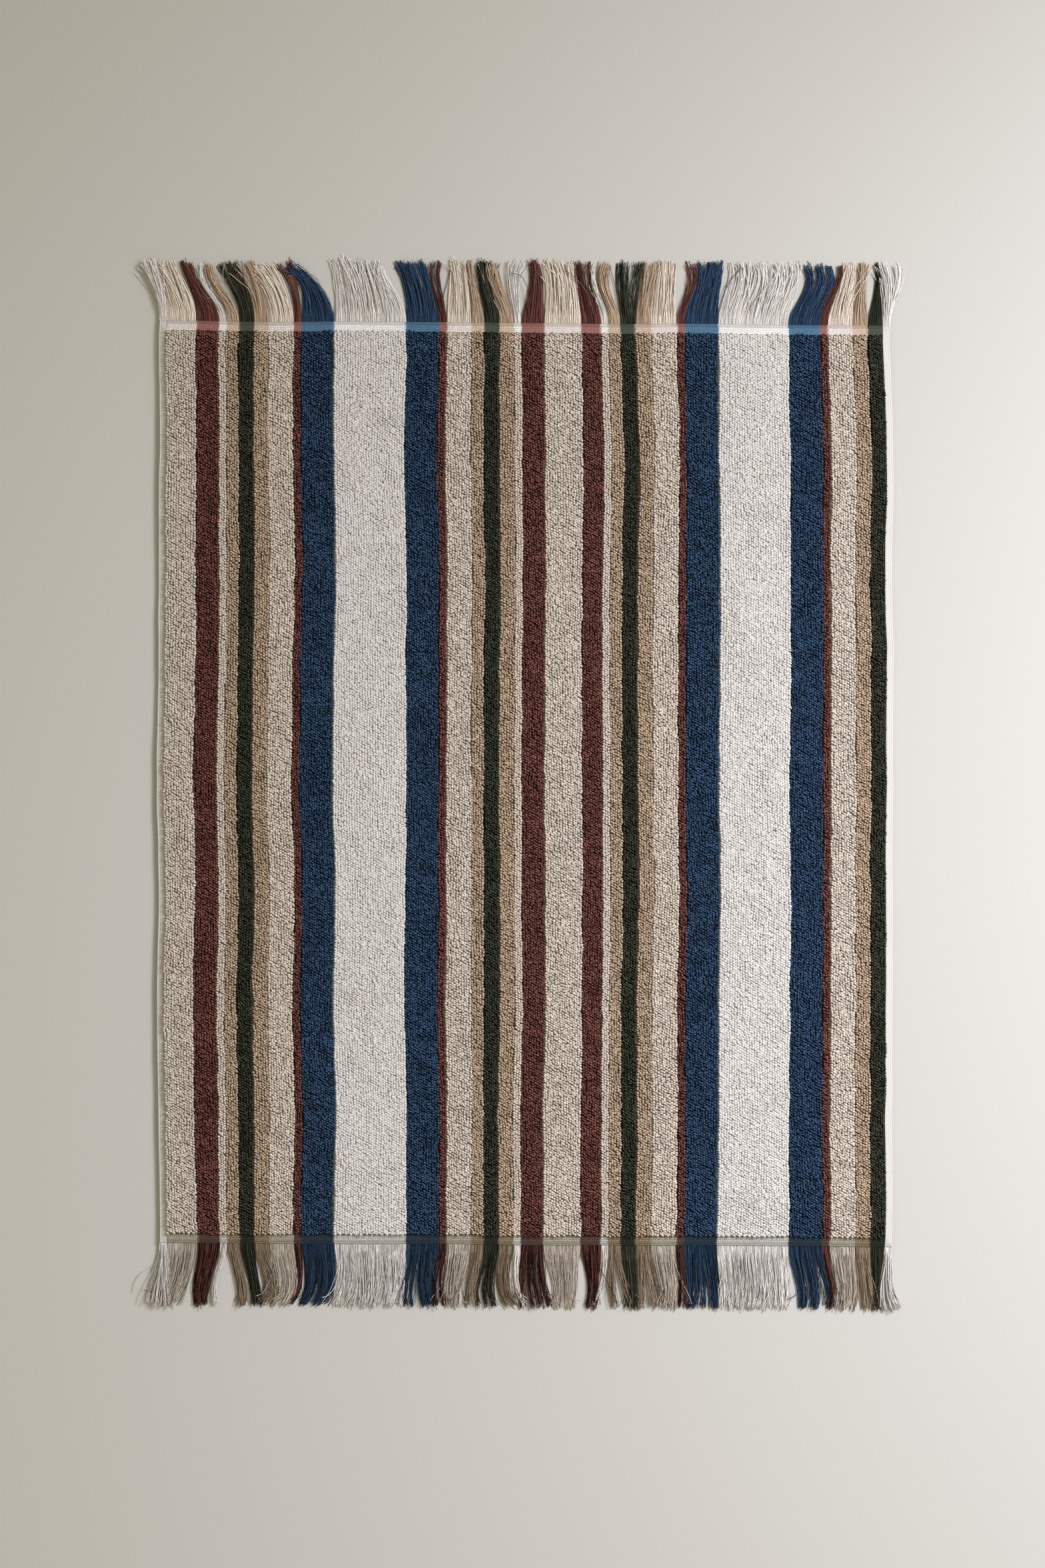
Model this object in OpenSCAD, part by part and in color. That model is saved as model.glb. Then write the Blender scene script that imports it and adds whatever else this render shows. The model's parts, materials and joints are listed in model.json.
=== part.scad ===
// Striped terry hand towel with flat-woven ends and a cut warp fringe, lying flat.
// X runs across the towel, Y runs along its warp yarns and Z points up.
// The origin is the middle of the towel on the surface that it lies on.

/* [Pile] */
// Distance between two neighbouring loops across the towel
loop_pitch_x = 1.72; // [1.5:0.02:2.0]
// Distance between two rows of loops along the towel
loop_pitch_y = 1.768; // [1.5:0.004:2.0]
// Number of rows of loops along the towel
loop_rows = 349; // [200:1:450]
// Height of the loops on each face
pile_h = 2.6; // [1.6:0.1:4.0]
// Radius of the outer edges of each pile stripe
pile_edge_r = 0.9; // [0.3:0.1:1.4]

/* [Ground cloth] */
// Thickness of the woven ground between the two faces of pile
ground_t = 1.0; // [0.6:0.1:1.6]

/* [Side edges] */
// Width of the flat-woven selvedge along each side
selvedge_w = 4.9; // [3.0:0.1:8.0]
// Thickness of the selvedge
selvedge_t = 1.6; // [1.2:0.1:2.4]

/* [Ends] */
// Length of the flat-woven header band at each end
header_len = 7; // [4:0.5:15]
// Thickness of the header band
header_t = 1.4; // [1.0:0.1:2.2]
// Length of the cut warp yarns beyond the header band
fringe_len = 42; // [25:1:60]
// Thickness of a tuft where its yarns leave the header band
tuft_root_t = 1.2; // [0.8:0.1:1.8]
// Thickness of a tuft at its cut ends
tuft_tip_t = 1.6; // [1.0:0.1:2.4]
// Distance from the header band at which a tuft comes down to the surface
tuft_drop = 14; // [8:1:20]

/* [Fold] */
// Number of stripes on the left of the line along which the towel folds
fold_after = 17; // [1:1:32]
// Space between two neighbouring pieces
piece_gap = 0.3; // [0.2:0.05:0.6]

/* [Hidden] */
// Colours of the yarns
YARNS = [
    ["beige", "#c9bca9"],
    ["burgundy", "#7d3834"],
    ["white", "#e6e1da"],
    ["tan", "#b39778"],
    ["green", "#343a2b"],
    ["blue", "#2b456c"]
];
// Stripes from the left edge to the right edge: yarn and width in loops
STRIPES = [
    ["beige", 12], ["burgundy", 9], ["white", 3], ["tan", 5], ["green", 6], ["tan", 6],
    ["beige", 10], ["burgundy", 3], ["blue", 13], ["white", 28], ["blue", 13], ["burgundy", 3],
    ["beige", 10], ["tan", 5], ["green", 6], ["tan", 6], ["white", 3], ["burgundy", 9],
    ["beige", 15], ["burgundy", 8], ["white", 3], ["tan", 5], ["green", 6], ["tan", 6],
    ["beige", 10], ["burgundy", 3], ["blue", 13], ["white", 28], ["blue", 13], ["burgundy", 3],
    ["beige", 10], ["tan", 6], ["green", 6]
];
ALL_STRIPES = [0 : len(STRIPES) - 1];
SIDES = ["left", "right"];
ENDS = ["top", "bottom"];
$fn = 48;

// Loops to the left of stripe i
function loops_before(i) = i == 0 ? 0 : loops_before(i - 1) + STRIPES[i - 1][1];
loop_columns = loops_before(len(STRIPES));

pile_w = loop_columns * loop_pitch_x;
pile_len = loop_rows * loop_pitch_y;
woven_len = pile_len + 2 * header_len;
mid_z = pile_h + ground_t / 2;
fold_x = loops_before(fold_after) * loop_pitch_x - pile_w / 2;

function stripe_w(i) = STRIPES[i][1] * loop_pitch_x;
function stripe_x(i) = loops_before(i) * loop_pitch_x + stripe_w(i) / 2 - pile_w / 2;
function stripe_side(i) = i < fold_after ? "left" : "right";
function side_sign(side) = side == "left" ? -1 : 1;
function end_sign(end) = end == "top" ? 1 : -1;
function yarn_colour(yarn) = [for (y = YARNS) if (y[0] == yarn) y[1]][0];
// Width and middle of the cloth between the fold line and the selvedge of one side
function half_w(side) = pile_w / 2 - side_sign(side) * fold_x - piece_gap / 2;
function half_x(side) = side_sign(side) * (pile_w / 2 - half_w(side) / 2);

function pile_name(i) = str("pile_", i < 9 ? "0" : "", i + 1, "_", STRIPES[i][0]);
function ground_name(side) = str("ground_cloth_", side);
function header_name(end, side) = str("header_", end, "_", side);
function selvedge_name(side) = str("selvedge_", side);
function fringe_name(side, yarn) = str("fringe_", side, "_", yarn);

// The loops of one face of a stripe, standing on z = 0 with rounded outer edges
module pile_face(w) {
    rotate([90, 0, 0]) linear_extrude(height = pile_len, center = true) {
        translate([-w / 2, 0]) square([w, pile_h - pile_edge_r]);
        translate([pile_edge_r - w / 2, 0]) square([w - 2 * pile_edge_r, pile_h]);
        for (s = [-1, 1])
            translate([s * (w / 2 - pile_edge_r), pile_h - pile_edge_r]) circle(r = pile_edge_r);
    }
}

// One colour stripe of pile: its loops stand on both faces of the ground cloth
module pile_stripe(i) {
    w = stripe_w(i) - piece_gap;
    color(yarn_colour(STRIPES[i][0])) translate([stripe_x(i), 0, pile_h]) {
        translate([0, 0, ground_t]) pile_face(w);
        mirror([0, 0, 1]) pile_face(w);
    }
}

// The woven ground that ties the loops, on one side of the fold line
module ground_cloth(side) {
    color("#d9d1c4") translate([half_x(side), 0, mid_z])
        cube([half_w(side), pile_len, ground_t], center = true);
}

// The flat-woven band between pile and fringe, on one side of the fold line
module header_band(end, side) {
    y = end_sign(end) * (pile_len + header_len) / 2;
    color("#cfc6b9") translate([half_x(side), y, mid_z])
        cube([half_w(side), header_len, header_t], center = true);
}

// The flat-woven side edge, where the weft yarns turn back, with a rounded outer side
module selvedge(side) {
    r = selvedge_t / 2;
    color("#e9e5de") translate([side_sign(side) * pile_w / 2, 0, mid_z]) rotate([90, 0, 0])
        linear_extrude(height = woven_len, center = true) {
            translate([side_sign(side) * (selvedge_w - r) / 2, 0])
                square([selvedge_w - r, selvedge_t], center = true);
            translate([side_sign(side) * (selvedge_w - r), 0]) circle(r = r);
        }
}

// The cut warp yarns of one stripe at one end, falling from the header band to the surface
module tuft(x, w, end) {
    root_z = mid_z - tuft_root_t / 2;
    profile = [
        [0, root_z], [tuft_drop, 0], [fringe_len, 0],
        [fringe_len, tuft_tip_t], [0, root_z + tuft_root_t]
    ];
    mirror([0, end == "top" ? 0 : 1, 0]) translate([x, woven_len / 2, 0])
        rotate([90, 0, 90]) linear_extrude(height = w - piece_gap, center = true) polygon(profile);
}

// The tufts of one yarn colour on one side of the fold line, with the selvedge's own white yarns
module fringe(side, yarn) {
    color(yarn_colour(yarn)) for (end = ENDS) {
        for (i = ALL_STRIPES)
            if (STRIPES[i][0] == yarn && stripe_side(i) == side) tuft(stripe_x(i), stripe_w(i), end);
        if (yarn == "white")
            tuft(side_sign(side) * (pile_w + selvedge_w) / 2, selvedge_w, end);
    }
}

for (i = ALL_STRIPES) pile_stripe(i);
for (side = SIDES) ground_cloth(side);
for (end = ENDS) for (side = SIDES)
    header_band(end, side);
for (side = SIDES) selvedge(side);
for (side = SIDES) for (y = YARNS)
    fringe(side, y[0]);
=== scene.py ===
import json
import math
import bpy
import numpy as np
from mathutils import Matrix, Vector


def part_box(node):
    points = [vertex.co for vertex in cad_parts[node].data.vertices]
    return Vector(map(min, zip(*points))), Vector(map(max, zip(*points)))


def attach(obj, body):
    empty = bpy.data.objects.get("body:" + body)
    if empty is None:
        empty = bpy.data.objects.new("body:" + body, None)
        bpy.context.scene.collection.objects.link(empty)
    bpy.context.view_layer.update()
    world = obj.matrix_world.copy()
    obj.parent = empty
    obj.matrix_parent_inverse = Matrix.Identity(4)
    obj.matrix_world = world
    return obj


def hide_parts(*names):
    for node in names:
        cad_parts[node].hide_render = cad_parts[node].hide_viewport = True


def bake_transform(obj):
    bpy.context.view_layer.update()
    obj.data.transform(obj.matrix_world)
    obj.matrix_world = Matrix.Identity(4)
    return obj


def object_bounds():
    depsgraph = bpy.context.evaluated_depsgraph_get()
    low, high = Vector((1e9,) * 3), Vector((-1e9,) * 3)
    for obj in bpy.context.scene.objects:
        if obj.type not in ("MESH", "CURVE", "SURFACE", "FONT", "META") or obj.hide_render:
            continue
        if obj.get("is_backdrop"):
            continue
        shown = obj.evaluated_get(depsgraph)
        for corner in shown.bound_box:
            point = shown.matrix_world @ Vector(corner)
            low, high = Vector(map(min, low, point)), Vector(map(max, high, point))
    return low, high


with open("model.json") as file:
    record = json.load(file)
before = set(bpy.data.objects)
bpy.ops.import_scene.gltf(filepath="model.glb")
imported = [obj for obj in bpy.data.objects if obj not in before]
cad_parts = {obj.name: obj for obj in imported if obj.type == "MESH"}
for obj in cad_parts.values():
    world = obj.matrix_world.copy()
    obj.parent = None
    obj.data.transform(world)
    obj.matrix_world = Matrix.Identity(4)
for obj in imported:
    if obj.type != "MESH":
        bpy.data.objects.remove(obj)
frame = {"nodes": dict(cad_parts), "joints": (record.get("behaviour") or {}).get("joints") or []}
cad_low, cad_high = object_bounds()

# ---- Ground cloth ------------------------------------------------------------------
# The woven sheet that ties every loop: cotton ground warp under cream weft, one cloth
# from selvedge to selvedge. It was put down by hand, so it lies in shallow waves, its
# sides bow out a little and its weft runs slightly askew.
MM = 0.001
ground_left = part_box("ground_cloth_left")
ground_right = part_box("ground_cloth_right")
ground_low, ground_high = ground_left[0], ground_right[1]
half_width = ground_high.x
half_length = ground_high.y
ground_top = ground_high.z
ground_bottom = ground_low.z

bow = 2.2 * MM
bow_end = 40 * MM
askew = 0.0064
sway = 1.2 * MM
wave_height = 1.7 * MM
header_slope = 0.24
header_reach = 7 * MM
selvedge_slope = 0.3
selvedge_reach = 5 * MM
thin_stripe = 8 * MM
# How far apart the cloth's broad waves and fine ripples lie, sideways, along and upwards
side_wave, side_ripple = 75 * MM, 19 * MM
along_wave = 60 * MM
lift_wave, lift_ripple = 70 * MM, 21 * MM


def smooth(t):
    """Eases a value from 0 to 1."""
    return t * t * (3 - 2 * t)


def drift(x, y, size, seed):
    """A smooth random value from -1 to 1 that changes over about size metres."""
    cells = 96
    knots = np.random.default_rng(seed).uniform(-1, 1, (cells + 1, cells + 1))
    u, v = x / size + cells / 2, y / size + cells / 2
    i, j = np.floor(u).astype(int), np.floor(v).astype(int)
    s, t = smooth(u - i), smooth(v - j)
    i, j = i % cells, j % cells
    low = knots[i, j] * (1 - s) + knots[i + 1, j] * s
    high = knots[i, j + 1] * (1 - s) + knots[i + 1, j + 1] * s
    return low * (1 - t) + high * t


def lie(points):
    """Moves points of the flat cloth to where they lie on the surface."""
    x, y, z = points[:, 0], points[:, 1], points[:, 2]
    inward = np.clip(1 - (y / (half_length + bow_end)) ** 2, 0, 1)
    side = x + bow * inward * x / half_width
    side = side + sway * drift(x, y, side_wave, 11) + 0.3 * sway * drift(x, y, side_ripple, 12)
    along = y - askew * x + 0.4 * sway * drift(x, y, along_wave, 13)
    lift = 0.5 + 0.35 * drift(x, y, lift_wave, 14) + 0.15 * drift(x, y, lift_ripple, 15)
    beyond_pile = np.clip(np.abs(y) - half_length, 0, header_reach)
    beyond_side = np.clip(np.abs(x) - half_width, 0, selvedge_reach)
    droop = np.maximum(header_slope * beyond_pile, selvedge_slope * beyond_side)
    return np.stack([side, along, z + wave_height * lift - droop], 1)


def mesh_from(name, points, faces, material):
    """A smooth mesh of one material from arrays of points and faces."""
    mesh = bpy.data.meshes.new(name)
    mesh.from_pydata(points.tolist(), [], faces.tolist())
    mesh.materials.append(material)
    mesh.shade_smooth()
    return mesh


def placed(name, data):
    """The object of a mesh, a lamp or a camera, at the origin of the scene."""
    made = bpy.data.objects.new(name, data)
    bpy.context.scene.collection.objects.link(made)
    return made


def stripe_nodes():
    """The pile stripes' node names from the left edge to the right edge."""
    return sorted(name for name in frame["nodes"] if name.startswith("pile_"))


# Yarn colours as light leaves the middle of a yarn, before shade between the yarns
YARN = {
    "beige": (0.532, 0.463, 0.400),
    "burgundy": (0.137, 0.051, 0.043),
    "white": (0.530, 0.503, 0.486),
    "tan": (0.422, 0.309, 0.217),
    "green": (0.036, 0.039, 0.026),
    "blue": (0.028, 0.0573, 0.113),
}

# Painted shade and painted light on each yarn, as factors at its foot and at its crown: dark dyed
# cotton is painted dark at its foot and bright at its crown, pale cotton brighter at its foot, standing
# in for light that passes through it into the gaps
LOOP_PAINTED_SHADE = {
    "beige": (0.88, 1.15),
    "burgundy": (0.35, 1.55),
    "white": (1.3, 1.0),
    "tan": (0.6, 1.3),
    "green": (0.35, 1.5),
    "blue": (0.35, 1.55),
}


def stripe_colour(x, colours, thin_white):
    """The colour of the stripe that holds each place x across the flat cloth."""
    overlap = 0.2 * MM
    colour = np.ones((len(x), 4))
    colour[:, :3] = colours["white"]
    for node in stripe_nodes():
        low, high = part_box(node)
        name = node.split("_")[2]
        inside = (x >= low.x - overlap) & (x <= high.x + overlap)
        is_thin = name == "white" and high.x - low.x < thin_stripe
        colour[inside, :3] = thin_white if is_thin else colours[name]
    return colour


def store(mesh, name, kind, values):
    """Stores one value or colour for each point of a mesh."""
    data = mesh.attributes.new(name, kind, "POINT").data
    field = "color" if kind == "FLOAT_COLOR" else "value"
    data.foreach_set(field, np.asarray(values, np.float32).ravel())


def places_of(mesh):
    """The places of a mesh's points, as an array of points by three."""
    points = np.empty(len(mesh.vertices) * 3, np.float32)
    mesh.vertices.foreach_get("co", points)
    return points.reshape(-1, 3)


def bake_map(mesh, part=0, parts=1):
    """Lays a mesh out flat for baking, seen a little from one side, in its own strip."""
    tilt_u, tilt_v = 0.41, 0.37
    margin = 0.01
    points = places_of(mesh)
    corner = np.empty(len(mesh.loops), np.int32)
    mesh.loops.foreach_get("vertex_index", corner)
    u = points[:, 0] + tilt_u * points[:, 2]
    v = points[:, 1] + tilt_v * points[:, 2]
    u = margin + (1 - 2 * margin) * (u - u.min()) / np.ptp(u)
    v = margin / 2 + (1 - margin) * (v - v.min()) / np.ptp(v)
    laid = np.stack([(part + u) / parts, v], 1)[corner]
    layer = mesh.uv_layers.new(name="OFBake")
    layer.data.foreach_set("uv", laid.astype(np.float32).ravel())
    return mesh


def new_material(name, roughness):
    """An empty cotton material: itself, its node tree and its shader."""
    material = bpy.data.materials.new(name)
    material.use_nodes = True
    shader = material.node_tree.nodes["Principled BSDF"]
    shader.inputs["Roughness"].default_value = roughness
    shader.inputs["Specular IOR Level"].default_value = 0.15
    shader.inputs["Sheen Weight"].default_value = 0.1
    shader.inputs["Sheen Roughness"].default_value = 0.4
    return material, material.node_tree, shader


def woven_slab(low, high, thickness, columns, rows):
    """Points and faces of a closed flat slab, with a grid on its top and bottom."""
    x = np.linspace(low[0], high[0], columns + 1)
    y = np.linspace(low[1], high[1], rows + 1)
    gx, gy = np.meshgrid(x, y)
    flat = np.stack([gx.ravel(), gy.ravel()], 1)
    middle = (low[2] + high[2]) / 2
    top = np.column_stack([flat, np.full(len(flat), middle + thickness / 2)])
    bottom = np.column_stack([flat, np.full(len(flat), middle - thickness / 2)])
    at = np.arange(len(flat)).reshape(rows + 1, columns + 1)
    quad = [at[:-1, :-1], at[:-1, 1:], at[1:, 1:], at[1:, :-1]]
    quads = np.stack([q.ravel() for q in quad], 1)
    count = len(flat)
    rim = np.concatenate([at[0, :], at[1:, -1], at[-1, -2::-1], at[-2:0:-1, 0]])
    after = np.roll(rim, -1)
    wall = np.stack([rim + count, after + count, after, rim], 1)
    faces = np.concatenate([quads, quads[:, ::-1] + count, wall])
    return np.concatenate([top, bottom]), faces


def add(tree, kind, **values):
    """A new node of a tree, with its properties or its inputs set by name."""
    node = tree.nodes.new(kind)
    for key, value in values.items():
        if key in node.bl_rna.properties:
            setattr(node, key, value)
        else:
            node.inputs[key.replace("_", " ")].default_value = value
    return node


def new_tree(name, kind, inputs, outputs):
    """An empty node tree with named inputs and outputs."""
    tree = bpy.data.node_groups.new(name, kind)
    for direction, sockets in (("INPUT", inputs), ("OUTPUT", outputs)):
        for label, value in sockets.items():
            tree.interface.new_socket(label, in_out=direction, socket_type="NodeSocket" + value)
    return tree


def fibre_group():
    """A node group that breaks a surface up into the fine fibres of spun cotton."""
    inputs = {"Scale": "Float", "Depth": "Float", "Contrast": "Float"}
    outputs = {"Shade": "Float", "Normal": "Vector"}
    tree = new_tree("cotton_fibre", "ShaderNodeTree", inputs, outputs)
    link = tree.links.new
    given = add(tree, "NodeGroupInput").outputs
    result = add(tree, "NodeGroupOutput").inputs
    place = add(tree, "ShaderNodeTexCoord")
    fibres = add(tree, "ShaderNodeTexNoise", Detail=3.0, Roughness=0.7, Distortion=0.6)
    link(place.outputs["Object"], fibres.inputs["Vector"])
    link(given["Scale"], fibres.inputs["Scale"])
    centred = add(tree, "ShaderNodeMath", operation="SUBTRACT")
    centred.inputs[1].default_value = 0.5
    link(fibres.outputs["Fac"], centred.inputs[0])
    shade = add(tree, "ShaderNodeMath", operation="MULTIPLY_ADD")
    shade.inputs[2].default_value = 1.0
    link(centred.outputs[0], shade.inputs[0])
    link(given["Contrast"], shade.inputs[1])
    link(shade.outputs[0], result["Shade"])
    bump = add(tree, "ShaderNodeBump", Strength=0.8)
    link(fibres.outputs["Fac"], bump.inputs["Height"])
    link(given["Depth"], bump.inputs["Distance"])
    link(bump.outputs[0], result["Normal"])
    return tree


cotton_fibre = fibre_group()


def spun(tree, shader, colour_from, scale=2600.0, depth=0.25 * MM, contrast=1.1):
    """Runs a colour through the fibre group into the shader of a cotton material."""
    fibre = add(tree, "ShaderNodeGroup", node_tree=cotton_fibre)
    fibre.inputs["Scale"].default_value = scale
    fibre.inputs["Depth"].default_value = depth
    fibre.inputs["Contrast"].default_value = contrast
    tint = add(tree, "ShaderNodeVectorMath", operation="SCALE")
    tree.links.new(colour_from, tint.inputs[0])
    tree.links.new(fibre.outputs["Shade"], tint.inputs["Scale"])
    tree.links.new(tint.outputs[0], shader.inputs["Base Color"])
    tree.links.new(fibre.outputs["Normal"], shader.inputs["Normal"])


ground_material, tree, shader = new_material("ground_cotton", 0.9)
stripe_shade = add(tree, "ShaderNodeAttribute", attribute_name="stripe_colour")
spun(tree, shader, stripe_shade.outputs["Color"])

ground_columns = 285
ground_rows = 24
# Painted shade: under the narrow white stripes the ground is painted dark between their loops
thin_white_ground_painted_shade = 0.35 * np.array(YARN["white"])
thickness = ground_high.z - ground_low.z
points, faces = woven_slab(ground_low, ground_high, thickness, ground_columns, ground_rows)
ground = placed("ground_cloth", mesh_from("ground_cloth", lie(points), faces, ground_material))
# The ground takes each stripe's yarn colour times its loops' foot factor: painted shade under dark
# yarns, painted light under pale ones
foot_colours_painted_shade = {name: np.array(YARN[name]) * LOOP_PAINTED_SHADE[name][0] for name in YARN}
store(ground.data, "stripe_colour", "FLOAT_COLOR",
      stripe_colour(points[:, 0], foot_colours_painted_shade, thin_white_ground_painted_shade))
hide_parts("ground_cloth_left", "ground_cloth_right")

# ---- Pile stripes -------------------------------------------------------------------
# Each colour stripe is a band of pile warp that stands up in loops on both faces of the
# ground. The loops are soft two-ply cotton: they twist, and lean in small patches the way
# a hand has stroked them, so lit tops and dark gaps change from patch to patch.
loop_pitch = 1.72 * MM
row_pitch = 1.768 * MM


def loop_shape(name, half_length, half_width, shoulder, crown, sides):
    """A closed loop of yarn: a foot, a lobed ring of shoulders round it and a crown."""
    wide_lobe, narrow_lobe = 1.12, 0.9
    points, reach = [(0, 0, 0)], [0.0]
    for k in range(sides):
        a = 2 * math.pi * (k + 0.5) / sides
        lobe = wide_lobe if k % 2 else narrow_lobe
        drop = 0.15 * shoulder * math.cos(2 * a)
        across = half_width * math.sin(a) * lobe
        points.append((half_length * math.cos(a) * lobe, across, shoulder * lobe - drop))
        reach.append(0.5)
    points.append((0.25 * half_length, -0.15 * half_width, crown))
    reach.append(1.0)
    faces = [(0, 1 + (k + 1) % sides, 1 + k) for k in range(sides)]
    faces += [(sides + 1, 1 + k, 1 + (k + 1) % sides) for k in range(sides)]
    mesh = bpy.data.meshes.new(name)
    mesh.from_pydata(points, [], faces)
    mesh.shade_smooth()
    # reach marks the foot, shoulders and crown of a loop, for the painted shade and highlight of its
    # yarn's material
    store(mesh, "reach", "FLOAT", reach)
    return bpy.data.objects.new(name, mesh)


def finish_tree(tree, geometry, material):
    """Ends a tree: its geometry made real, in its material, as the tree's result."""
    real = add(tree, "GeometryNodeRealizeInstances")
    tree.links.new(geometry, real.inputs[0])
    dress = add(tree, "GeometryNodeSetMaterial")
    tree.links.new(real.outputs[0], dress.inputs["Geometry"])
    tree.links.new(material, dress.inputs["Material"])
    tree.links.new(dress.outputs[0], add(tree, "NodeGroupOutput").inputs[0])


def terry_tree():
    """Geometry Nodes: one loop on each point of a cloth, twisted and leaned in patches."""
    inputs = {
        "Geometry": "Geometry", "Loop": "Object", "Lean": "Float", "Turn": "Float",
        "Turn Spread": "Float", "Patch Scale": "Float", "Turn Over": "Float",
        "Tone Min": "Float", "Tone Max": "Float", "Seed": "Int", "Material": "Material",
    }
    tree = new_tree("terry_pile", "GeometryNodeTree", inputs, {"Geometry": "Geometry"})
    patch_lean, loop_lean = 4, 0.4
    patch_turn, loop_turn = 4, 0.5
    smallest, largest = (0.88, 0.88, 0.8), (1.1, 1.1, 1.08)
    link = tree.links.new
    given = add(tree, "NodeGroupInput").outputs
    place = add(tree, "GeometryNodeInputPosition")

    def rotated(euler, rotation=None):
        """A rotation from angles, or a rotation turned on by those angles."""
        made = add(tree, "FunctionNodeEulerToRotation")
        link(euler, made.inputs[0])
        if rotation is None:
            return made.outputs[0]
        both = add(tree, "FunctionNodeRotateRotation", rotation_space="GLOBAL")
        link(rotation, both.inputs["Rotation"])
        link(made.outputs[0], both.inputs["Rotate By"])
        return both.outputs[0]

    def patches(scale_of):
        """A smooth random vector around zero that changes from patch to patch."""
        noise = add(tree, "ShaderNodeTexNoise", noise_dimensions="4D", Detail=1.0)
        link(place.outputs[0], noise.inputs["Vector"])
        link(given["Seed"], noise.inputs["W"])
        link(scale_of, noise.inputs["Scale"])
        centred = add(tree, "ShaderNodeVectorMath", operation="SUBTRACT")
        centred.inputs[1].default_value = (0.5, 0.5, 0.5)
        link(noise.outputs["Color"], centred.inputs[0])
        return centred.outputs[0]

    def random_vector(low, high, offset):
        """A random vector for each loop, from its own run of the seed."""
        draw = add(tree, "FunctionNodeRandomValue", data_type="FLOAT_VECTOR")
        draw.inputs["Min"].default_value = low
        draw.inputs["Max"].default_value = high
        shift = add(tree, "ShaderNodeMath", operation="ADD")
        shift.inputs[1].default_value = offset
        link(given["Seed"], shift.inputs[0])
        link(shift.outputs[0], draw.inputs["Seed"])
        return draw.outputs["Value"]

    def times(vector, factor_from=None, factor=(1, 1, 1)):
        """A vector times a fixed factor or times a linked one."""
        product = add(tree, "ShaderNodeVectorMath", operation="MULTIPLY")
        link(vector, product.inputs[0])
        product.inputs[1].default_value = factor
        if factor_from is not None:
            link(factor_from, product.inputs[1])
        return product.outputs[0]

    def plus(a, b):
        """The sum of two vectors."""
        total = add(tree, "ShaderNodeVectorMath", operation="ADD")
        link(a, total.inputs[0])
        link(b, total.inputs[1])
        return total.outputs[0]

    patch = patches(given["Patch Scale"])
    own = random_vector((-loop_lean, -loop_lean, 0), (loop_lean, loop_lean, 0), 1)
    lean = plus(times(patch, factor=(patch_lean, patch_lean, 0)), own)
    lean = times(lean, factor_from=given["Lean"])
    own = random_vector((0, 0, -loop_turn), (0, 0, loop_turn), 2)
    turn = plus(times(patch, factor=(0, 0, patch_turn)), own)
    turn = times(turn, factor_from=given["Turn Spread"])
    base_turn = add(tree, "ShaderNodeCombineXYZ")
    link(given["Turn"], base_turn.inputs["Z"])
    turn = plus(turn, base_turn.outputs[0])
    over = add(tree, "ShaderNodeCombineXYZ")
    link(given["Turn Over"], over.inputs["X"])
    turned = rotated(over.outputs[0], rotated(lean, rotated(turn)))

    source = add(tree, "GeometryNodeObjectInfo", transform_space="ORIGINAL")
    link(given["Loop"], source.inputs["Object"])
    plant = add(tree, "GeometryNodeInstanceOnPoints")
    link(given["Geometry"], plant.inputs["Points"])
    link(source.outputs["Geometry"], plant.inputs["Instance"])
    link(turned, plant.inputs["Rotation"])
    link(random_vector(smallest, largest, 3), plant.inputs["Scale"])
    tone = add(tree, "GeometryNodeStoreNamedAttribute", data_type="FLOAT", domain="INSTANCE")
    tone.inputs["Name"].default_value = "tone"
    draw = add(tree, "FunctionNodeRandomValue", data_type="FLOAT")
    link(given["Tone Min"], draw.inputs[2])
    link(given["Tone Max"], draw.inputs[3])
    link(given["Seed"], draw.inputs["Seed"])
    link(plant.outputs[0], tone.inputs["Geometry"])
    link(draw.outputs[1], tone.inputs["Value"])
    finish_tree(tree, tone.outputs[0], given["Material"])
    return tree


def grown_on(mesh, tree, inputs):
    """The plain mesh that a tree grows on another mesh, with the modifier's inputs set."""
    base = placed(mesh.name, mesh)
    modifier = base.modifiers.new(tree.name, "NODES")
    modifier.node_group = tree
    for item in tree.interface.items_tree:
        if item.in_out == "INPUT" and item.name in inputs:
            modifier[item.identifier] = inputs[item.name]
    base.update_tag()
    view = bpy.context.evaluated_depsgraph_get()
    made = bpy.data.meshes.new_from_object(base.evaluated_get(view))
    bpy.data.objects.remove(base)
    return made


def grown(name, base_points, tree, inputs, colours=None):
    """The plain mesh that a tree grows on loose points, coloured by stripe if asked."""
    mesh = bpy.data.meshes.new(name)
    mesh.vertices.add(len(base_points))
    mesh.vertices.foreach_set("co", base_points.astype(np.float32).ravel())
    if colours is not None:
        store(mesh, "stripe_colour", "FLOAT_COLOR", colours)
    return grown_on(mesh, tree, inputs)


def join_meshes(name, meshes):
    """One object from several meshes."""
    parts = [placed(name, mesh) for mesh in meshes]
    with bpy.context.temp_override(active_object=parts[0], selected_editable_objects=parts):
        bpy.ops.object.join()
    return parts[0]


# Pale cotton fluffs out and closes its gaps, dark dyed cotton stays closer twisted
LOOP_HALF_SIZE = {
    "beige": (1.40, 0.90),
    "burgundy": (1.34, 0.79),
    "white": (1.50, 1.05),
    "tan": (1.36, 0.84),
    "green": (1.34, 0.79),
    "blue": (1.34, 0.79),
}
# How much one loop's shade differs from the next: dyed yarn takes the dye unevenly
LOOP_TONES = {
    "beige": (-0.1, 1.1),
    "burgundy": (-0.9, 1.9),
    "white": (0.3, 0.7),
    "tan": (-0.3, 1.3),
    "green": (-0.9, 1.9),
    "blue": (-0.9, 1.9),
}
upper_shoulder = 1.9 * MM
upper_crown = 2.6 * MM
upper_loops = {
    name: loop_shape("upper_loop_" + name, long * MM, wide * MM, upper_shoulder, upper_crown, 6)
    for name, (long, wide) in LOOP_HALF_SIZE.items()
}
lower_loop = loop_shape("lower_loop", 1.7 * MM, 1.3 * MM, 1.6 * MM, 2.5 * MM, 4)
lower_spread = 1.6


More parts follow.
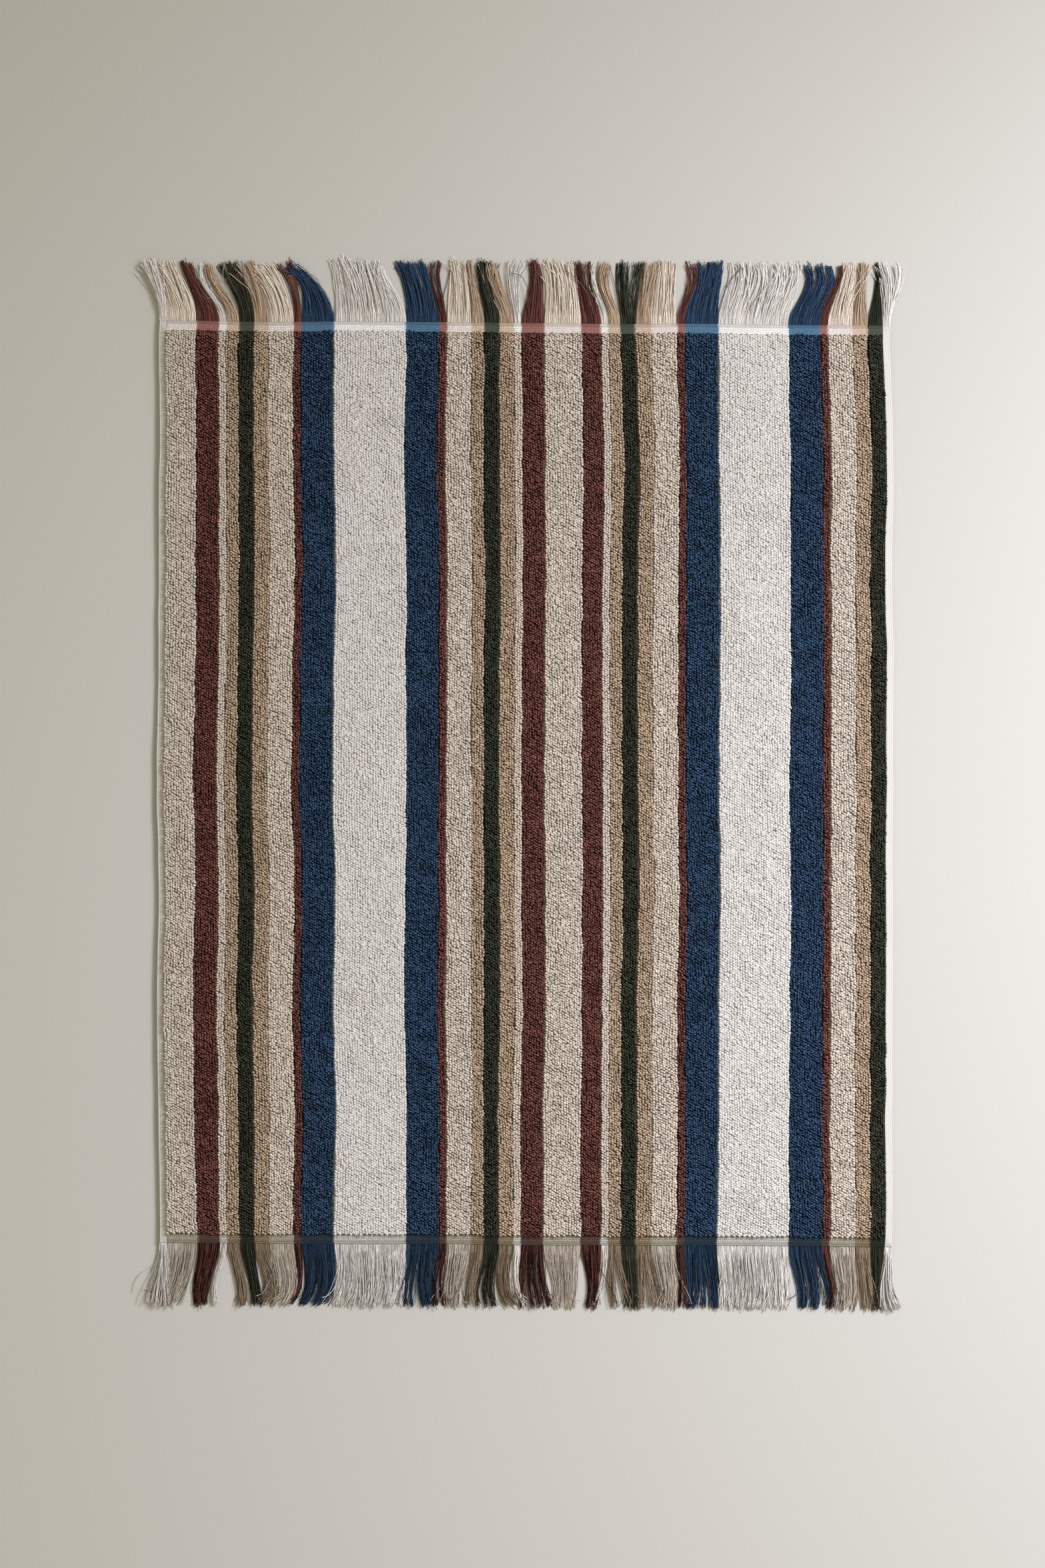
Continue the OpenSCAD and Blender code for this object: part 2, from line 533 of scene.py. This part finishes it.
def yarn_material(name, colour, foot_shade, crown_shade):
    """Soft cotton yarn, its colour scaled by painted light and shade from its foot to its crown, and no
    two loops quite alike.
    """
    material, tree, shader = new_material("cotton_" + name, 0.85)
    link = tree.links.new
    is_dark, is_pale = max(colour) < 0.2, min(colour) > 0.3
    if is_dark:
        shader.inputs["Sheen Weight"].default_value = 0.02
        shader.inputs["Specular IOR Level"].default_value = 0.06
    reach = add(tree, "ShaderNodeAttribute", attribute_name="reach")
    tone = add(tree, "ShaderNodeAttribute", attribute_name="tone")
    # Painted shade and painted highlight: the colour is scaled from the foot factor to the crown factor
    # by height in the loop
    shade = add(tree, "ShaderNodeMapRange")
    shade.inputs["From Min"].default_value = 0.4
    shade.inputs["From Max"].default_value = 1.0
    shade.inputs["To Min"].default_value = foot_shade
    shade.inputs["To Max"].default_value = crown_shade
    link(reach.outputs["Fac"], shade.inputs["Value"])
    vary = add(tree, "ShaderNodeMapRange", clamp=False)
    vary.inputs["To Min"].default_value = 0.8
    vary.inputs["To Max"].default_value = 1.15
    link(tone.outputs["Fac"], vary.inputs["Value"])
    strength = add(tree, "ShaderNodeMath", operation="MULTIPLY")
    link(shade.outputs[0], strength.inputs[0])
    link(vary.outputs[0], strength.inputs[1])
    tint = add(tree, "ShaderNodeVectorMath", operation="SCALE")
    tint.inputs[0].default_value = colour
    link(strength.outputs[0], tint.inputs["Scale"])
    spun(tree, shader, tint.outputs[0], depth=0.12 * MM if is_pale else 0.25 * MM)
    return material


yarn_materials = {name: yarn_material(name, YARN[name], *LOOP_PAINTED_SHADE[name]) for name in YARN}
# The narrow white stripes are sparse: the ground between their loops is painted warm and dark as
# painted shade, and their loops carry strong painted shade at the foot
THIN_WHITE_YARN = (0.60, 0.52, 0.44)
THIN_WHITE_PAINTED_SHADE = (0.25, 1.3)
thin_white_material = yarn_material("thin_white", THIN_WHITE_YARN, *THIN_WHITE_PAINTED_SHADE)
pile_tree = terry_tree()
fold_at = [j for j in frame["joints"] if j["name"] == "fold_in_half"][0]["pos_m"][0]
fold_reach = 10 * MM


def hang_on_halves(piece):
    """The piece rides on its half of the towel; near the fold it rides on neither and has its place
    baked into its points.
    """
    x = places_of(piece.data)[:, 0]
    if x.min() > fold_at + fold_reach:
        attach(piece, "right_half")
    elif x.max() < fold_at - fold_reach:
        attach(piece, "left_half")
    else:
        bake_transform(piece)


def loop_places(low, high, z, spread=1.0):
    """Loop places on one face of a stripe, every other column half a row on, a little uneven."""
    stagger, jitter = 0.25, 0.11 * MM
    columns = round((high.x - low.x) / (loop_pitch * spread))
    rows = round((high.y - low.y) / (row_pitch * spread))
    x = low.x + (np.arange(columns) + 0.5) * (high.x - low.x) / columns
    y = low.y + (np.arange(rows) + 0.5) * (high.y - low.y) / rows
    gx, gy = np.meshgrid(x, y)
    gy = gy + np.where(np.arange(columns) % 2, stagger, -stagger)[None, :] * (y[1] - y[0])
    places = np.stack([gx.ravel(), gy.ravel(), np.full(gx.size, z)], 1)
    places[:, :2] += np.random.default_rng(columns * rows).normal(0, jitter, (len(places), 2))
    return lie(places)


# The loops' angle across the rows, how close their patches lie, and how far they lean over
loop_angle = -0.7
angle_spread = 0.6
patches_per_metre = 75.0
firm_lean, soft_lean = 0.35, 0.5
for number, node in enumerate(stripe_nodes()):
    colour = node.split("_")[2]
    low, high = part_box(node)
    thin_white = colour == "white" and high.x - low.x < thin_stripe
    yarn = thin_white_material if thin_white else yarn_materials[colour]
    shared = {"Turn": loop_angle, "Turn Spread": angle_spread, "Material": yarn}
    shared |= {"Tone Min": LOOP_TONES[colour][0], "Tone Max": LOOP_TONES[colour][1]}
    shared |= {"Lean": firm_lean if colour == "white" else soft_lean}
    shared |= {"Patch Scale": patches_per_metre}
    upper = {"Loop": upper_loops[colour], "Seed": number} | shared
    lower = {"Loop": lower_loop, "Seed": 100 + number} | shared
    lower["Turn Over"] = math.pi
    upper_points = loop_places(low, high, ground_top)
    lower_points = loop_places(low, high, ground_bottom, lower_spread)
    pile = join_meshes(node + "_loops", [
        bake_map(grown("upper", upper_points, pile_tree, upper), 0, 2),
        bake_map(grown("lower", lower_points, pile_tree, lower), 1, 2),
    ])
    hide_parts(node)
    hang_on_halves(pile)

# ---- Header bands -------------------------------------------------------------------
# At each end the pile stops and warp and weft are woven flat. White weft floats over the
# stripes in a steep twill beside the pile, and small plain crossings in each stripe's own
# colour close the band towards the fringe.
float_pitch = 1.2 * MM
float_rows = 3
float_slope = 0.95
crossing_pitch = 0.86 * MM
crossing_rows = 2
twill_width = 4.4 * MM
cord_pitch = 1.5 * MM
# The yarns as the flat weave shows them, with painted light: the top band is painted pale, as lit
# from the window, and the bottom band is painted darker, as painted shadow from the pile beside it
HEADER_YARN_PAINTED_LIGHT = {
    "top": {
        "beige": (0.65, 0.59, 0.555),
        "burgundy": (0.30, 0.130, 0.118),
        "white": (0.71, 0.69, 0.68),
        "tan": (0.53, 0.415, 0.325),
        "green": (0.065, 0.072, 0.051),
        "blue": (0.078, 0.160, 0.26),
    },
    "bottom": {
        "beige": (0.35, 0.32, 0.265),
        "burgundy": (0.085, 0.047, 0.037),
        "white": (0.48, 0.475, 0.46),
        "tan": (0.23, 0.174, 0.112),
        "green": (0.0175, 0.020, 0.0145),
        "blue": (0.0175, 0.033, 0.055),
    },
}
# Painted shadow: the cord row beside the pile is painted dark at the bottom end, as the pile's shadow
# on it
cord_painted_shadow = {"top": 1.0, "bottom": 0.35}


def lozenge(name, length, width, height):
    """A yarn seen between two crossings: pointed at both ends and round across."""
    ring = [(0, width / 2, 0), (0, 0, height), (0, -width / 2, 0), (0, 0, -height)]
    points = [(-length / 2, 0, 0), *ring, (length / 2, 0, 0)]
    faces = [(0, 1 + (k + 1) % 4, 1 + k) for k in range(4)]
    faces += [(5, 1 + k, 1 + (k + 1) % 4) for k in range(4)]
    mesh = bpy.data.meshes.new(name)
    mesh.from_pydata(points, [], faces)
    mesh.shade_smooth()
    return bpy.data.objects.new(name, mesh)


def cloth_material(name, strength):
    """Flat-woven cotton in the stripes' colours, uneven from yarn to yarn."""
    material, tree, shader = new_material(name, 0.88)
    link = tree.links.new
    colour = add(tree, "ShaderNodeAttribute", attribute_name="stripe_colour")
    tone = add(tree, "ShaderNodeAttribute", attribute_name="tone")
    vary = add(tree, "ShaderNodeMapRange")
    vary.inputs["To Min"].default_value = 0.85 * strength
    vary.inputs["To Max"].default_value = 1.15 * strength
    link(tone.outputs["Fac"], vary.inputs["Value"])
    tint = add(tree, "ShaderNodeVectorMath", operation="SCALE")
    link(colour.outputs["Color"], tint.inputs[0])
    link(vary.outputs[0], tint.inputs["Scale"])
    spun(tree, shader, tint.outputs[0])
    return material


twill_material = cloth_material("header_twill", 1.35)
band_material = cloth_material("header_ground", 0.8)
weft_float = lozenge("weft_float", 2.5 * MM, 0.72 * MM, 0.36 * MM)
crossing = lozenge("crossing", 1.6 * MM, 0.84 * MM, 0.34 * MM)


def band_places(low, high, edges, pitch, rows, shift, z):
    """Rows of places along a band between two edges, each row shifted on from the last."""
    near, far = sorted(edges)
    columns = int((high.x - low.x - pitch) / pitch)
    x = low.x + pitch / 2 + np.arange(columns) * pitch
    y = near + (np.arange(rows) + 0.5) * (far - near) / rows
    gx, gy = np.meshgrid(x, y)
    gx = gx + (np.arange(rows)[:, None] * shift) % pitch
    return np.stack([gx.ravel(), gy.ravel(), np.full(gx.size, z)], 1)


sunk = 0.15 * MM
cord_width = 0.7 * MM
cord_rise = 0.25 * MM
band_columns = 288
band_rows = 8
for end in ("top", "bottom"):
    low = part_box("header_%s_left" % end)[0]
    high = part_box("header_%s_right" % end)[1]
    outward = 1 if end == "top" else -1
    pile_side, fringe_side = (low.y, high.y) if end == "top" else (high.y, low.y)
    between = pile_side + outward * twill_width
    points, faces = woven_slab(low, high, high.z - low.z - 2 * sunk, band_columns, band_rows)
    mesh = mesh_from("slab", lie(points), faces, band_material)
    yarn = HEADER_YARN_PAINTED_LIGHT[end]
    store(mesh, "stripe_colour", "FLOAT_COLOR", stripe_colour(points[:, 0], yarn, yarn["white"]))
    store(mesh, "tone", "FLOAT", np.full(len(points), 0.5))
    meshes = [bake_map(mesh, 2, 3)]
    for side, z, over in ((0, high.z - sunk, 0.0), (1, low.z + sunk, math.pi)):
        shared = {"Turn Over": over, "Turn Spread": 0.12, "Seed": side, "Patch Scale": 200.0}
        shared |= {"Tone Min": 0.0, "Tone Max": 1.0}
        twill = {"Loop": weft_float, "Lean": 0.04, "Turn": 0.95, "Material": twill_material}
        plain = {"Loop": crossing, "Lean": 0.15, "Turn": 1.57, "Material": band_material}
        cord = {"Loop": weft_float, "Lean": 0.0, "Turn": 0.0, "Material": twill_material}
        shift = float_slope * twill_width / float_rows
        rows = [
            (twill, (pile_side, between), float_pitch, float_rows, shift),
            (plain, (between, fringe_side), crossing_pitch, crossing_rows, crossing_pitch / 2),
            (cord, (pile_side, pile_side + outward * cord_width), cord_pitch, 1, 0),
        ]
        for kind, edges, pitch, count, step in rows:
            places = band_places(low, high, edges, pitch, count, step, z)
            if kind is cord:
                places[:, 2] += cord_rise if side == 0 else -cord_rise
            shades = stripe_colour(places[:, 0], yarn, yarn["white"])
            # At the bottom end the cord row takes the painted shadow
            shades = shades * cord_painted_shadow[end] if kind is cord else shades
            made = grown("weave", lie(places), pile_tree, kind | shared, shades)
            meshes.append(bake_map(made, side, 3))
    band = join_meshes("header_%s_band" % end, meshes)
    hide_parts("header_%s_left" % end, "header_%s_right" % end)
    hang_on_halves(band)

# ---- Selvedges ------------------------------------------------------------------------
# Along each side the weft turns back round a few close pale warp yarns, which makes a
# flat ribbed edge with a firmer cord outermost.
pick_length = 1.2 * MM
edge_thickness = 1.1 * MM
RIB_SHADOW = (0.45, 0.43, 0.395, 1)
RIB_LIGHT = (0.59, 0.57, 0.54, 1)
# Heights in millimetres: the edge from its outermost line inwards, with its cord, a groove
# and ribs, and the knots where each weft yarn crosses
SELVEDGE_PROFILE = (-0.30, 0.30, 0.34, 0.02, -0.10, 0.16, 0.16, -0.12, 0.10, 0.12, -0.10, 0.05, 0.0)
knot_height = 0.07
selvedge_material, tree, shader = new_material("selvedge_cotton", 0.88)
rib_shade = add(tree, "ShaderNodeAttribute", attribute_name="rib")
rib_colour = add(tree, "ShaderNodeMix", data_type="RGBA")
rib_colour.inputs[6].default_value = RIB_SHADOW
rib_colour.inputs[7].default_value = RIB_LIGHT
tree.links.new(rib_shade.outputs["Fac"], rib_colour.inputs["Factor"])
spun(tree, shader, rib_colour.outputs[2])

for side, outward in (("left", -1), ("right", 1)):
    low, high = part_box("selvedge_" + side)
    rows = round((high.y - low.y) / pick_length)
    columns = len(SELVEDGE_PROFILE) - 1
    points, faces = woven_slab(low, high, edge_thickness, columns, rows)
    top = points[:, 2] > (low.z + high.z) / 2
    across = (points[:, 0] - low.x) / (high.x - low.x)
    column = np.rint((1 - across if outward > 0 else across) * columns).astype(int)
    row = np.rint((points[:, 1] - low.y) / (high.y - low.y) * rows).astype(int)
    profile = np.array(SELVEDGE_PROFILE)[column]
    knot = knot_height * np.where((row + column // 2) % 2, 1.0, -1.0) * (column < columns - 1)
    points[:, 2] += np.where(top, 1, -1) * (profile + knot) * MM
    name = "selvedge_%s_edge" % side
    selvedge = placed(name, mesh_from(name, lie(points), faces, selvedge_material))
    store(selvedge.data, "rib", "FLOAT", np.clip(0.55 + 1.2 * (profile + knot), 0, 1))
    bake_map(selvedge.data)
    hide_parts("selvedge_" + side)
    hang_on_halves(selvedge)

# ---- Fringe -----------------------------------------------------------------------------
# Beyond each header the warp yarns are left unwoven for a finger's length, cut, and lie
# loose. They were combed by hand: every tuft sweeps its own way, gathers into locks and
# lets a few single yarns stray over its neighbours.
yarns_per_loop = 8
selvedge_yarns = 70
selvedge_heap = 1.8
yarn_radius = 0.28 * MM
yarn_steps = 10
yarn_tip = 0.75
yarn_reach = 0.85
fall_length = 14 * MM

# How each tuft lies, from left to right: its sideways sweep halfway and at its tips in
# millimetres, its width at the tips over its width at the header, and its locks
TOP_TUFTS = {
    "left_selvedge": (-2.8, -8.5, 1.9, 3),
    1: (-4.0, -13.0, 0.8, 5), 2: (-6.3, -15.0, 0.45, 3), 3: (-9.0, -16.6, 1.0, 1),
    4: (-8.0, -16.6, 0.9, 2), 5: (-4.6, -12.5, 1.2, 3), 6: (-3.2, -11.5, 1.0, 3),
    7: (-4.0, -14.0, 1.0, 5), 8: (-2.0, -10.5, 0.8, 2), 9: (-3.6, -17.0, 0.45, 3),
    10: (-2.8, -9.0, 0.8, 7), 11: (-2.0, -7.2, 0.95, 3), 12: (-3.7, -4.5, 2.2, 2),
    13: (0.0, -1.7, 0.9, 4), 14: (-2.6, -5.2, 0.5, 1), 15: (-4.2, -6.6, 1.0, 2),
    16: (-5.0, -8.5, 0.9, 2), 17: (-2.0, 0.5, 1.3, 2), 18: (1.7, 0.4, 0.55, 2),
    19: (-0.4, -4.0, 0.8, 4), 20: (-3.0, -5.7, 1.05, 3), 21: (-5.0, -6.8, 1.0, 1),
    22: (-5.2, -5.2, 1.0, 2), 23: (0.5, 2.2, 2.3, 2), 24: (2.2, 5.2, 0.8, 2),
    25: (0.0, 0.0, 0.85, 4), 26: (6.0, 7.8, 1.6, 2), 27: (3.0, 5.7, 0.75, 4),
    28: (5.0, 8.0, 1.08, 9), 29: (7.4, 10.0, 0.95, 3), 30: (5.7, 10.3, 1.2, 1),
    31: (3.0, 6.5, 0.7, 3), 32: (0.7, 2.0, 0.6, 2), 33: (1.2, 1.2, 0.35, 1),
    "right_selvedge": (1.5, -0.5, 3.6, 4),
}
BOTTOM_TUFTS = {
    "left_selvedge": (-1.2, -3.0, 3.9, 4),
    1: (-2.6, -9.6, 0.87, 5), 2: (-3.2, -5.0, 0.78, 3), 3: (-4.5, -7.0, 0.7, 1),
    4: (3.3, 5.0, 0.7, 2), 5: (3.3, 6.4, 0.6, 2), 6: (4.0, 3.0, 0.65, 2),
    7: (2.9, -1.5, 0.92, 5), 8: (2.0, -3.7, 0.8, 1), 9: (1.7, -3.0, 1.04, 5),
    10: (1.0, -1.7, 1.02, 9), 11: (-1.9, -1.5, 0.94, 5), 12: (-2.6, -1.7, 1.3, 2),
    13: (-2.8, -3.5, 0.7, 3), 14: (-2.6, -4.4, 0.7, 2), 15: (-3.2, -2.8, 1.2, 3),
    16: (-2.3, 4.6, 0.8, 2), 17: (-1.0, 3.8, 1.0, 1), 18: (0.0, 3.0, 1.3, 4),
    19: (1.3, 1.0, 0.6, 2), 20: (1.7, 0.9, 0.45, 2), 21: (-0.9, -6.0, 0.9, 1),
    22: (1.0, 4.0, 2.4, 2), 23: (1.3, 0.4, 0.9, 3), 24: (2.0, 4.5, 1.7, 2),
    25: (2.4, 3.7, 0.77, 4), 26: (1.7, 2.4, 1.2, 2), 27: (1.3, 0.9, 1.0, 5),
    28: (1.7, 1.3, 1.05, 9), 29: (3.3, 5.0, 1.1, 5), 30: (3.3, 5.0, 0.8, 1),
    31: (2.2, 2.2, 0.78, 4), 32: (1.7, 3.0, 1.1, 2), 33: (0.0, 0.0, 0.4, 1),
    "right_selvedge": (-1.0, 3.0, 2.6, 3),
}


def tuft_yarns(low_x, high_x, root_y, length, outward, sweep, seed, count, heaped):
    """Paths of a tuft's yarns, as an array of yarns by steps by three."""
    lock_hold = 0.68
    lock_wander, own_wander, curling, crimping = 1.5 * MM, 0.8 * MM, 0.6 * MM, 0.11 * MM
    stray_share, stray_reach, stray_curl = 0.07, 6.0 * MM, 2.5
    tip_splay, tip_length = 0.7 * MM, 0.22
    draw = np.random.default_rng(seed)
    halfway, tip, spread, locks = sweep
    halfway, tip = halfway * MM, tip * MM
    half, middle = (high_x - low_x) / 2, (low_x + high_x) / 2
    u = np.linspace(-1, 1, count + 2)[1:-1] + draw.normal(0, 0.6 / count, count)
    lock = np.clip(((u + 1 + draw.normal(0, 0.12, count)) / 2 * locks).astype(int), 0, locks - 1)
    lock_u = (lock + 0.5) / locks * 2 - 1
    t = np.linspace(0, 1, yarn_steps + 1)[None, :]
    pull = lock_hold * t ** 1.5 * draw.uniform(0.4, 1.2, (count, 1))
    at = u[:, None] * (1 - pull) + lock_u[:, None] * pull
    width = 1 + (spread - 1) * smooth(t)
    # A cubic sideways path that passes the sweep halfway along and the sweep at the tip
    bend, twist = 8 * halfway - tip, 2 * tip - 8 * halfway
    lock_drift = draw.normal(0, lock_wander, locks)[lock][:, None] * t ** 2
    own_drift = draw.normal(0, own_wander, (count, 1)) * t ** 1.3
    strays = draw.random((count, 1)) < stray_share
    curl = draw.normal(0, curling, (count, 1)) * np.where(strays, stray_curl, 1.0)
    curl = curl * np.sin(t * draw.uniform(3, 8, (count, 1)))
    crimp = draw.normal(0, crimping, (count, yarn_steps + 1)) * (t > 0.1)
    stray = np.where(strays, draw.normal(0, stray_reach, (count, 1)), 0) * t ** 1.7
    x = middle + half * at * width + bend * t ** 2 + twist * t ** 3
    opened = np.clip((t - 1 + tip_length) / tip_length, 0, 1)
    splay = draw.normal(0, tip_splay, (count, 1)) * opened
    x = x + lock_drift + own_drift + curl * t + crimp + stray + splay
    # Each yarn keeps its length: what it goes sideways it loses along the fringe
    yarn_length = length * draw.normal(1.0, 0.03, (count, 1))
    step = yarn_length / yarn_steps
    dy = np.sqrt(np.maximum(step ** 2 - np.diff(x, axis=1) ** 2, (0.15 * step) ** 2))
    y = np.concatenate([np.zeros((count, 1)), np.cumsum(dy, 1)], 1)
    # It leaves the header at the ground's height and comes down to lie heaped on the surface
    root_z = (ground_top + ground_bottom) / 2 + draw.uniform(-0.5, 0.6, (count, 1)) * MM
    heap = heaped * (0.8 + 2.2 * (1 - u[:, None] ** 2))
    rest_z = yarn_radius + draw.uniform(0.0, 1.0, (count, 1)) * heap * MM + np.abs(stray) * 0.15
    fall = smooth(np.clip(y / fall_length, 0, 1))
    z = root_z * (1 - fall) + rest_z * fall
    return np.stack([x, root_y + outward * y, z], 2)


def yarn_tree():
    """Geometry Nodes: spins each chain of edges into a closed yarn."""
    inputs = {"Geometry": "Geometry", "Yarn Radius": "Float", "Material": "Material"}
    tree = new_tree("loose_yarns", "GeometryNodeTree", inputs, {"Geometry": "Geometry"})
    link = tree.links.new
    given = add(tree, "NodeGroupInput").outputs
    path = add(tree, "GeometryNodeMeshToCurve")
    link(given["Geometry"], path.inputs[0])
    section = add(tree, "GeometryNodeCurvePrimitiveCircle")
    section.inputs["Resolution"].default_value = 3
    link(given["Yarn Radius"], section.inputs["Radius"])
    tube = add(tree, "GeometryNodeCurveToMesh")
    tube.inputs["Fill Caps"].default_value = True
    link(path.outputs[0], tube.inputs["Curve"])
    link(section.outputs[0], tube.inputs["Profile Curve"])
    soft = add(tree, "GeometryNodeSetShadeSmooth")
    link(tube.outputs[0], soft.inputs[0])
    finish_tree(tree, soft.outputs[0], given["Material"])
    return tree


# Each colour's tone in the fringe: the top fringe fans out and is painted brighter, as painted light
# towards the window; the bottom one lies close and is painted darker, as painted shade
FRINGE_TONE_AND_PAINTED_LIGHT = {
    "top": {"beige": 1.4, "burgundy": -0.1, "white": 1.4, "tan": 0.7, "green": -0.1, "blue": 0.1},
    "bottom": {"beige": 0.0, "burgundy": -1.1, "white": 0.9, "tan": -0.75, "green": -0.3, "blue": -0.6},
}
fringe_tree = yarn_tree()
header_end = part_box("header_top_left")[1].y
fringe_length = cad_high.y - header_end
tufts = {}
for end, outward, sweeps in (("top", 1, TOP_TUFTS), ("bottom", -1, BOTTOM_TUFTS)):
    for seed, (key, sweep) in enumerate(sweeps.items()):
        if key in ("left_selvedge", "right_selvedge"):
            side, colour = key.split("_")[0], "white"
            low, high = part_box("selvedge_" + side)
            count, heaped = selvedge_yarns, selvedge_heap
        else:
            node = stripe_nodes()[key - 1]
            colour = node.split("_")[2]
            low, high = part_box(node)
            side = "left" if high.x < fold_at + MM else "right"
            count, heaped = yarns_per_loop * round((high.x - low.x) / loop_pitch), 1.0
        tuft_seed = 1000 * outward + 2000 + seed
        yarns = tuft_yarns(low.x, high.x, outward * header_end, fringe_length, outward, sweep,
                           tuft_seed, count, heaped)
        moved = lie(yarns[:, 0]) - yarns[:, 0]
        fall = np.clip(np.abs(yarns[:, :, 1] - yarns[:, :1, 1]) / fall_length, 0, 1)
        yarns[:, :, :2] += moved[:, None, :2]
        yarns[:, :, 2] += moved[:, 2][:, None] * (1 - fall)
        draw = np.random.default_rng(500 + seed + 100 * outward).random(count)
        # Dark tufts are dull with a few bright yarns, pale tufts vary evenly
        is_dark = colour in ("burgundy", "green", "blue")
        tone = FRINGE_TONE_AND_PAINTED_LIGHT[end][colour] + (3 * draw ** 2 - 1 if is_dark else 1.5 * draw - 0.75)
        tufts.setdefault((side, colour), []).append((yarns, tone))

for (side, colour), groups in sorted(tufts.items()):
    yarns = np.concatenate([group[0] for group in groups])
    tone = np.concatenate([group[1] for group in groups])
    mesh = bpy.data.meshes.new("paths")
    count, steps = yarns.shape[:2]
    at = np.arange(count * steps).reshape(count, steps)
    edges = np.stack([at[:, :-1].ravel(), at[:, 1:].ravel()], 1)
    mesh.from_pydata(yarns.reshape(-1, 3).tolist(), edges.tolist(), [])
    store(mesh, "radius", "FLOAT", np.tile(np.linspace(1.0, yarn_tip, steps), count))
    store(mesh, "tone", "FLOAT", np.repeat(tone, steps))
    store(mesh, "reach", "FLOAT", np.full(count * steps, yarn_reach))
    inputs = {"Yarn Radius": yarn_radius, "Material": yarn_materials[colour]}
    name = "fringe_%s_%s" % (side, colour)
    fringe = join_meshes(name + "_yarns", [bake_map(grown_on(mesh, fringe_tree, inputs))])
    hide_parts(name)
    hang_on_halves(fringe)

# ---- The ground cloth on the towel's halves -----------------------------------------------
# All of it is one piece of cloth on the loom: the ground carries the stripes, the headers, the
# selvedges and the fringe, and the stripes' lower loops rest on the surface. The ground gets its flat
# map for baking and rides on the towel's halves.
bake_map(ground.data)
hang_on_halves(ground)

# ---- Surface, light and camera ------------------------------------------------------
# The towel lies on a plain pale tabletop under one broad soft light from the upper right,
# and is seen from straight above.
floor_half = 3.0
floor_mesh = bpy.data.meshes.new("floor")
corners = [(x * floor_half, y * floor_half, 0) for x, y in ((-1, -1), (1, -1), (1, 1), (-1, 1))]
floor_mesh.from_pydata(corners, [], [(0, 1, 2, 3)])
floor = placed("floor", floor_mesh)
floor_material, tree, shader = new_material("matt_paint", 0.9)
shader.inputs["Base Color"].default_value = (0.48, 0.464, 0.44, 1)
shader.inputs["Sheen Weight"].default_value = 0
floor_mesh.materials.append(floor_material)
floor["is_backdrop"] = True

lamp = bpy.data.lights.new("window", "AREA")
lamp.shape = "SQUARE"
lamp.size = 0.6
lamp.energy = 68
lamp.color = (0.87, 0.89, 1.0)
window = placed("window", lamp)
window.location = (1.14, 0.54, 1.22)
window_aim = Vector((1.08, -2.3, 0)) - window.location
window.rotation_euler = window_aim.to_track_quat("-Z", "Y").to_euler()

world = bpy.data.worlds.new("room")
world.use_nodes = True
background = world.node_tree.nodes["Background"]
background.inputs["Color"].default_value = (1.0, 0.94, 0.71, 1)
background.inputs["Strength"].default_value = 0.555
bpy.context.scene.world = world

view_height = 2.2
view_length = 1.0749
lens = bpy.data.cameras.new("camera")
lens.sensor_width = 36
lens.lens = lens.sensor_width * view_height / view_length
lens.clip_end = 20
camera = placed("camera", lens)
camera.location = (-0.002, 0, view_height)
bpy.context.scene.camera = camera
bpy.context.scene.view_settings.view_transform = "Standard"

low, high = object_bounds()
